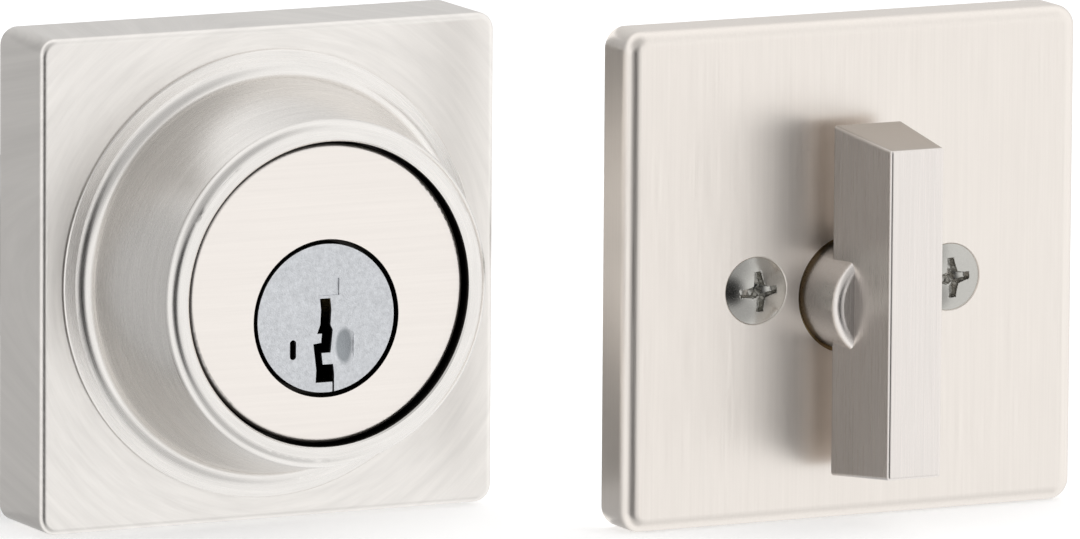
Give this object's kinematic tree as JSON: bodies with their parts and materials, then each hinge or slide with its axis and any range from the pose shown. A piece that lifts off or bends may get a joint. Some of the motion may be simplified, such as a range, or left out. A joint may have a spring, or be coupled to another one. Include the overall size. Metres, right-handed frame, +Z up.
{
  "type": "deadbolt door lock",
  "caption": "Square-trim deadbolt: outer key cylinder in a tapered collar, deadbolt with crank, and inner thumb turn plate, the inner half set beside the outer one.",
  "frame": {"origin": "on the lock's turning axis at the door's outer face, where the outer rose meets the door", "axes": "+Z up, +Y into the door, +X to the right as seen from outside; both trims face -Y and the bolt is thrown towards -X"},
  "size_m": [0.1667, 0.1172, 0.0675],
  "materials": {
    "rose_nickel": "satin nickel plate, brushed in rings round the collar",
    "collar_nickel": "satin nickel plate, brushed round",
    "housing_nickel": "satin nickel plate, fine straight grain",
    "plug_nickel": "bead-blasted nickel",
    "cover_nickel": "satin nickel plate, brushed upright",
    "turn_nickel": "satin nickel plate, brushed upright",
    "faceplate_nickel": "satin nickel plate",
    "bolt_steel": "ground steel, satin",
    "tail_steel": "zinc-plated steel",
    "zinc_steel": "bright zinc-plated steel",
    "case_zinc": "zinc-plated sheet steel",
    "screw_zinc": "zinc-plated steel",
    "hard_steel": "hardened steel",
    "spring_steel": "spring steel",
    "pin_brass": "turned brass",
    "bush_brass": "turned brass"
  },
  "bodies": {
    "outer_half": {"outer_rose": "rose_nickel", "guard_collar": "collar_nickel", "cylinder_housing": "housing_nickel", "drill_pins": "hard_steel", "threaded_posts": "zinc_steel", "case_half_front": "case_zinc", "case_half_rear": "case_zinc", "case_rivets": "zinc_steel", "bolt_tube": "case_zinc", "faceplate": "faceplate_nickel", "faceplate_backer": "case_zinc", "faceplate_screws": "faceplate_nickel", "hub_spring": "spring_steel", "inner_cover": "cover_nickel", "inner_support": "zinc_steel", "turn_bush": "bush_brass", "wave_washer": "spring_steel", "mounting_screws": "screw_zinc"},
    "plug": {"key_plug": "plug_nickel", "key_pins": "pin_brass", "pin_springs": "spring_steel", "spring_cover": "pin_brass", "code_wafers": "hard_steel", "sidebar": "hard_steel", "sidebar_springs": "spring_steel", "plug_clip": "spring_steel", "tail_cap": "pin_brass"},
    "drive": {"tailpiece": "tail_steel", "crank_hub": "tail_steel"},
    "bolt": {"dead_bolt": "bolt_steel", "anti_saw_pin": "hard_steel", "bolt_links": "zinc_steel", "cross_pin": "hard_steel", "tail_pin": "hard_steel"},
    "turn": {"thumb_turn": "turn_nickel", "turn_insert": "zinc_steel", "turn_clip": "spring_steel"}
  },
  "joints": [
    {"name": "bolt_throw", "type": "slide", "parent": "outer_half", "child": "bolt", "axis": [-1, 0, 0], "range_m": [0, 0.0254]},
    {"name": "key_turn", "type": "hinge", "parent": "outer_half", "child": "plug", "pos_m": [0, 0, 0], "axis": [0, -1, 0], "range_deg": [0, 90]},
    {"name": "tailpiece_turn", "type": "hinge", "parent": "outer_half", "child": "drive", "pos_m": [0, 0, 0], "axis": [0, -1, 0], "range_deg": [0, 90]},
    {"name": "thumb_turn", "type": "hinge", "parent": "outer_half", "child": "turn", "pos_m": [0.073, -0.0344, 0], "axis": [0, 1, 0], "range_deg": [0, 90]}
  ],
  "couplings": [
    {"joint": "key_turn", "follows": "bolt_throw", "rad_per_m": 61.842},
    {"joint": "tailpiece_turn", "follows": "bolt_throw", "rad_per_m": 61.842},
    {"joint": "thumb_turn", "follows": "bolt_throw", "rad_per_m": 61.842}
  ]
}
